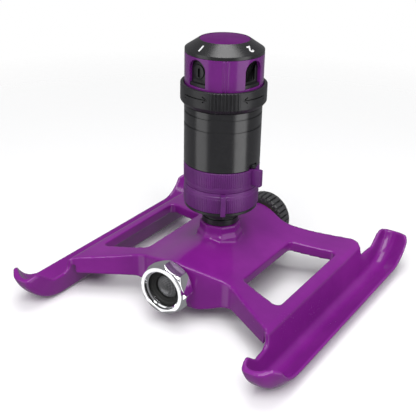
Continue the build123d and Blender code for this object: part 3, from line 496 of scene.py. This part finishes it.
# %% [markdown]
# ## The capped outlet
#
# The cap's ribs are broad with narrow, deep gaps between them. They run from the open end to a plain band at
# the closed end, where each gap closes to a point.

# %% Ribbed cap
low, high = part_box("end_cap")
cap_low, cap_high, cap_r = low.y / MM, high.y / MM, (high.x - low.x) / 2 / MM
ribs, gap_depth, band, inner_r = 30, 1.9, 2.4, 13.5
wall_low, wall_high, wall_rows = cap_low + 0.9, cap_high - 1.5, 18
wall = [(cap_r, wall_low + (wall_high - wall_low) * k / wall_rows, 0.0) for k in range(1, wall_rows)]
cap_line = outline([(inner_r, cap_low, 0.3), (cap_r - 1.1, cap_low, 0.3), (cap_r, wall_low, 0.4), *wall,
                    (cap_r, wall_high, 0.5), (cap_r - 1.5, cap_high, 0.6), (cap_r - 4.0, cap_high, 0.3),
                    (cap_r - 4.6, cap_high - 0.6, 0.3), (0.05, cap_high - 0.6, 0.0),
                    (0.05, cap_high - 3.0, 0.0), (inner_r, cap_high - 3.0, 0.3)])


def cap_gap(a, r, z):
    """Gaps in the outer wall that narrow to a point at the band."""
    if r < cap_r - 1.4 or z > cap_high - band:
        return 0.0
    across = (a * ribs / (2 * pi)) % 1.0
    half = 0.17 * min(1.0, (cap_high - band - z) / 3.0)
    return -gap_depth * min(1.0, max(0.0, (half - abs(across - 0.5)) / 0.05))


piece("ribbed_outlet_cap", to_mesh("ribbed_outlet_cap", turned(cap_line, ribs * 20, cap_gap), on_pipe()),
      "end_cap", "cap")

# %% [markdown]
# ## The arc collars
#
# Fine ribs run round both collars, with plain bands where the two meet. Each tab is a small rounded block
# that grows out of its collar.

# %% Two ribbed collars
collar_r, collar_bore, collar_height, collar_ribs, rib_depth = 26.07, 22.25, 14.3, 120, 0.32


def collar(name, node, plain_on_top, tab_angle, tab_thick, tab_rise, tab_r):
    """A ribbed collar; its tab starts tab_rise above its foot and reaches the top of the model's own."""
    low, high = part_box(node)
    z0, tab_top = low.z / MM, high.z / MM
    z1 = min(tab_top, z0 + collar_height)
    if plain_on_top:
        line = [(collar_bore, z0, 0.2), (collar_r - 0.4, z0, 0.2), (collar_r, z0 + 0.5, 0.2),
                (collar_r, z1 - 4.4, 0.15), (collar_r - 0.25, z1 - 4.0, 0.1),
                (collar_r - 0.25, z1 - 2.3, 0.1), (collar_r - 0.55, z1 - 2.0, 0.1),
                (collar_r - 0.55, z1, 0.25), (collar_bore, z1, 0.2)]
        ribbed = (z0 + 0.3, z1 - 4.3)
    else:
        line = [(collar_bore, z0, 0.2), (collar_r - 0.55, z0, 0.25), (collar_r - 0.55, z0 + 1.4, 0.1),
                (collar_r - 0.25, z0 + 1.7, 0.1), (collar_r - 0.25, z0 + 3.4, 0.1),
                (collar_r, z0 + 3.8, 0.15), (collar_r, z1 - 0.5, 0.2), (collar_r - 0.4, z1, 0.2),
                (collar_bore, z1, 0.2)]
        ribbed = (z0 + 3.7, z1 - 0.3)

    def ripple(a, r, z):
        if r < collar_r - 0.05 or not ribbed[0] < z < ribbed[1]:
            return 0.0
        across = (a * collar_ribs / (2 * pi)) % 1.0
        return -rib_depth * min(1.0, max(0.0, (0.24 - abs(across - 0.5)) / 0.12))

    bm = turned(outline(line, 2), collar_ribs * 8, ripple)
    block(bm, (collar_r - 1.2, -tab_thick / 2, z0 + tab_rise), (tab_r, tab_thick / 2, tab_top),
          Matrix.Rotation(radians(tab_angle), 4, "Z"), 0.5)
    return piece(name, to_mesh(name, bm), node)


lower = collar("lower_arc_collar_ribbed", "lower_arc_collar", True, -55.0, 3.4, 0.0, 30.8)
upper = collar("upper_arc_collar_ribbed", "upper_arc_collar", False, -3.0, 3.6, 2.9, 32.5)
print("collars:", len(lower.data.polygons) + len(upper.data.polygons), "faces")

# %% [markdown]
# ## The range ring
#
# One turned ring: a ribbed grip, a soft bevel below, and two engraved arrows that point to the grip from both
# sides, each with two small dots at its tail.

# %% Ring with its grip
grip_angle, grip_half, grip_ribs, grip_height = -56.0, radians(20.5), 9, 0.7
ring_low, ring_high, ring_step, ring_r = 139.0, 153.4, 151.2, 28.7
ring_bore, ring_mouth, ring_foot = 23.95, 26.5, 26.4
ring_line = outline([(ring_bore, ring_low, 0.2), (ring_foot, ring_low, 0.8), (ring_r, ring_low + 3.0, 0.8),
                     (ring_r, ring_high, 0.6), (ring_mouth, ring_high, 0.4), (ring_mouth, ring_step, 0.2),
                     (ring_bore, ring_step, 0.2)], 4)


def grip_ripple(a, r, z):
    """Ribs on the outer wall, over the grip's width only."""
    if r < ring_mouth + 0.5:
        return 0.0
    away = (a - radians(grip_angle) + pi) % (2 * pi) - pi
    if abs(away) > grip_half:
        return 0.0
    across = ((away + grip_half) / (2 * grip_half) * grip_ribs) % 1.0
    return grip_height * min(1.0, max(0.0, (0.36 - abs(across - 0.5)) / 0.12))


ring_mesh = to_mesh("range_ring_body", turned(ring_line, 720, grip_ripple))

# %% Cutters for the arrows, bent round the ring
arrow_z, line_width, arrow_depth = 148.2, 0.8, 1.0
low_r, high_r = ring_r - arrow_depth, ring_r + 1


def groove(bm, points, width):
    """A groove's cutter along (degrees, height) points, bent round the ring's axis."""
    for (a0, z0), (a1, z1) in zip(points, points[1:]):
        arc = radians(a1 - a0) * ring_r
        length = sqrt(arc ** 2 + (z1 - z0) ** 2)
        side = (-(z1 - z0) / length * width / 2, arc / length * width / 2)
        steps = max(1, int(abs(a1 - a0) / 2))
        rows = []
        for k in range(steps + 1):
            share = k / steps
            a, z = radians(a0 + (a1 - a0) * share), z0 + (z1 - z0) * share
            row = []
            for r, s in ((low_r, -1), (high_r, -1), (high_r, 1), (low_r, 1)):
                b = a + s * side[0] / ring_r
                row.append(bm.verts.new((r * cos(b), r * sin(b), z + s * side[1])))
            rows.append(row)
        for before, after in zip(rows, rows[1:]):
            for i in range(4):
                bm.faces.new((before[i - 1], after[i - 1], after[i], before[i]))
        bm.faces.new(rows[0])
        bm.faces.new(list(reversed(rows[-1])))


cutters = bmesh.new()
for sign in (1, -1):
    tip, tail = grip_angle + sign * 24.0, grip_angle + sign * 59.0
    groove(cutters, [(tip, arrow_z), (tail, arrow_z)], line_width)
    for barb_z in (1.9, -1.9):
        groove(cutters, [(tip - sign * 0.3, arrow_z), (tip + sign * 6.5, arrow_z + barb_z)], line_width)
    for dot_z in (0.0, -2.0):
        groove(cutters, [(tail + sign * 1.2, arrow_z + dot_z), (tail + sign * 2.8, arrow_z + dot_z)], 0.9)
cutter = bpy.data.objects.new("arrow_cutter", to_mesh("arrow_cutter", cutters, weld=1e-6))
scene.collection.objects.link(cutter)
ring_mesh = modified(ring_mesh, [("BOOLEAN", {"object": cutter, "operation": "DIFFERENCE",
                                              "solver": "EXACT", "use_self": True})])
bpy.data.objects.remove(cutter)
piece("range_ring_with_arrows", ring_mesh, "range_ring")
print("range ring:", len(ring_mesh.polygons), "faces")

# %% [markdown]
# ## The head's plain pieces
#
# Their shapes come straight from the model; only the edges are softened. The dial is turned afresh with a
# fine step where the disc sits.

# %% Barrel, neck, turret, inserts and trip lever
for name, node, edge in (("barrel_sleeve", "barrel", 0.1),
                         ("neck_and_flange", "drive_housing", 0.35),
                         ("nozzle_turret_shell", "nozzle_turret", 0.3),
                         ("round_insert", "round_nozzle", 0.25),
                         ("finned_insert", "finned_nozzle", 0.2),
                         ("flat_insert", "flat_nozzle", 0.2),
                         ("shower_insert", "shower_nozzle", 0.12),
                         ("trip_nub", "trip_lever", 0.2)):
    made = rounded_copy(name, node, edge, finish_name="sleeve" if node == "barrel" else None)
    print(name, len(made.data.polygons), "faces")

# %% Dial and disc
skirt_low, skirt_in, skirt_out = 171.2, 18.6, 21.05
dial_low, dial_high, dial_r, dial_top_r, dial_band = 173.4, 181.7, 26.0, 16.9, 2.3
seat_r, seat_z, seat_wall, pin_r = 16.42, 180.1, 2.5, 0.05
dial_line = outline([(skirt_in, skirt_low, 0.0), (skirt_out, skirt_low, 0.2), (skirt_out, dial_low, 0.0),
                     (dial_r, dial_low, 0.3), (dial_r, dial_low + dial_band, 0.5),
                     (dial_top_r, dial_high, 0.15), (seat_r, dial_high, 0.1), (seat_r, seat_z, 0.0),
                     (pin_r, seat_z, 0.0), (pin_r, seat_z - seat_wall, 0.0),
                     (skirt_in, seat_z - seat_wall, 0.5)], 4)
piece("bevelled_dial", to_mesh("bevelled_dial", turned(dial_line, 180)), "top_dial", "dial")
disc_r, disc_edge, dome, rows = 16.38, 0.25, 0.9, 12
disc_line = [(pin_r, seat_z), (disc_r, seat_z), (disc_r, dial_high - disc_edge),
             (disc_r - disc_edge, dial_high)]
disc_line += [(disc_r * k / rows, dial_high + dome * (1 - (k / rows) ** 2))
              for k in range(rows - 1, 0, -1)]
disc_line += [(pin_r, dial_high + dome)]
piece("domed_disc", to_mesh("domed_disc", turned(disc_line, 120)), "top_disc", "disc")

# %% Numbers on the dial's bevel
bevel_top, bevel_foot = Vector((dial_top_r, dial_high)), Vector((dial_r, dial_low + dial_band))
number_size, number_weight, number_height = 6.8, 0.24, 0.12
slope = (bevel_foot - bevel_top).normalized()
normal = Vector((-slope.y, slope.x))
middle = (bevel_top + bevel_foot) / 2
for number, angle in enumerate((-101.0, -11.0, 79.0, 169.0), 1):
    letter = bpy.data.curves.new(f"number_{number}", "FONT")
    letter.body, letter.size = str(number), number_size
    letter.extrude, letter.offset = number_height, number_weight
    letter.align_x, letter.align_y = "CENTER", "CENTER"
    holder = bpy.data.objects.new("letter_holder", letter)
    scene.collection.objects.link(holder)
    mesh = bpy.data.meshes.new_from_object(holder.evaluated_get(bpy.context.evaluated_depsgraph_get()))
    bpy.data.objects.remove(holder)
    for vertex in mesh.vertices:
        x, y, z = vertex.co
        place = middle + slope * y + normal * (z + 0.05)
        a = radians(angle) - x / middle.x
        vertex.co = Vector((place.x * cos(a), place.x * sin(a), place.y)) * MM
    piece(f"dial_number_{number}", mesh, "top_dial", "print", hides=False)
print("numbers printed")

# %% [markdown]
# ## Floor, light and camera
#
# A pale floor, a soft sky and four broad lamps. The camera stands where the photograph was taken from.

# %% Floor, fading out before the horizon, and sky
fade_start, fade_width = 0.18, 0.5
floor_half, floor_drop = 2000, 0.1
seen_floor, lighting_floor, lighting_sky = (0.92, 0.92, 0.92), (0.60, 0.60, 0.60), (0.25, 0.25, 0.26)
bm = bmesh.new()
bmesh.ops.create_grid(bm, x_segments=1, y_segments=1, size=floor_half)
floor = bpy.data.objects.new("floor", to_mesh("floor", bm, Matrix.Translation((0, 0, -floor_drop))))
scene.collection.objects.link(floor)
ground = Surface("pale_floor", Roughness=0.9)
seen = ground.node("ShaderNodeLightPath", {}, {}, "Is Camera Ray")
away = ground.node("ShaderNodeVectorMath", {"operation": "LENGTH"}, {0: ground.place}, "Value")
far = away.above(fade_start, fade_width)
ground.feed(Base_Color=ground.mix(seen, lighting_floor, seen_floor))
clear = ground.node("ShaderNodeBsdfTransparent", {}, {})
fade = ground.node("ShaderNodeMixShader", {}, {0: far * seen, 1: ground.shader.outputs[0], 2: clear})
put(ground.tree, ground.tree.nodes["Material Output"].inputs["Surface"], fade)
floor.data.materials.append(ground.material)
floor.visible_glossy = False
world = bpy.data.worlds.new("soft_sky")
world.use_nodes = True
scene.world = world
sky = world.node_tree.nodes["Background"]
sight = world.node_tree.nodes.new("ShaderNodeLightPath")
blend = world.node_tree.nodes.new("ShaderNodeMix")
blend.data_type = "RGBA"
put(world.node_tree, blend.inputs[0], sight.outputs["Is Camera Ray"])
put(world.node_tree, blend.inputs[6], lighting_sky)
put(world.node_tree, blend.inputs[7], (1.0, 1.0, 1.0))
put(world.node_tree, sky.inputs["Color"], blend.outputs[2])

# %% Lamps: two tall panels that streak the upright surfaces, a broad one over the camera and one above
aim_height = 0.08
for name, place, size, power in (("left_panel", (-0.62, -0.98, 0.05), (0.8, 2.0), 5.0),
                                 ("right_panel", (1.18, -0.05, 0.05), (0.8, 2.0), 8.0),
                                 ("key_panel", (0.45, -0.85, 1.25), (1.3, 0.9), 20.0),
                                 ("top_panel", (0.0, 0.05, 1.4), (0.8, 0.8), 8.0)):
    lamp = bpy.data.lights.new(name, "AREA")
    lamp.shape, lamp.size, lamp.size_y, lamp.energy = "RECTANGLE", *size, power
    holder = bpy.data.objects.new(name, lamp)
    holder.location = place
    aim = Vector((0, 0, min(place[2], aim_height)))
    holder.rotation_euler = (aim - Vector(place)).to_track_quat("-Z", "Y").to_euler()
    scene.collection.objects.link(holder)

# %% Camera
azimuth, elevation, roll = radians(32.760), radians(25.377), radians(1.142)
aim, distance = Vector((-47.49, 57.57, 25.8)) * MM, 650.776 * MM
focal_length, sensor_width = 69.81, 36.0
back = Vector((sin(azimuth) * cos(elevation), -cos(azimuth) * cos(elevation), sin(elevation)))
right = Vector((cos(azimuth), sin(azimuth), 0))
up = back.cross(right)
axes = (right * cos(roll) + up * sin(roll), up * cos(roll) - right * sin(roll), back)
camera = bpy.data.objects.new("camera", bpy.data.cameras.new("camera"))
camera.data.lens, camera.data.sensor_width = focal_length, sensor_width
camera.data.clip_start, camera.data.clip_end = 0.02, 50.0
camera.matrix_world = Matrix.Translation(aim + back * distance) @ Matrix(axes).transposed().to_4x4()
scene.collection.objects.link(camera)
scene.camera = camera
scene.view_settings.view_transform = "Standard"
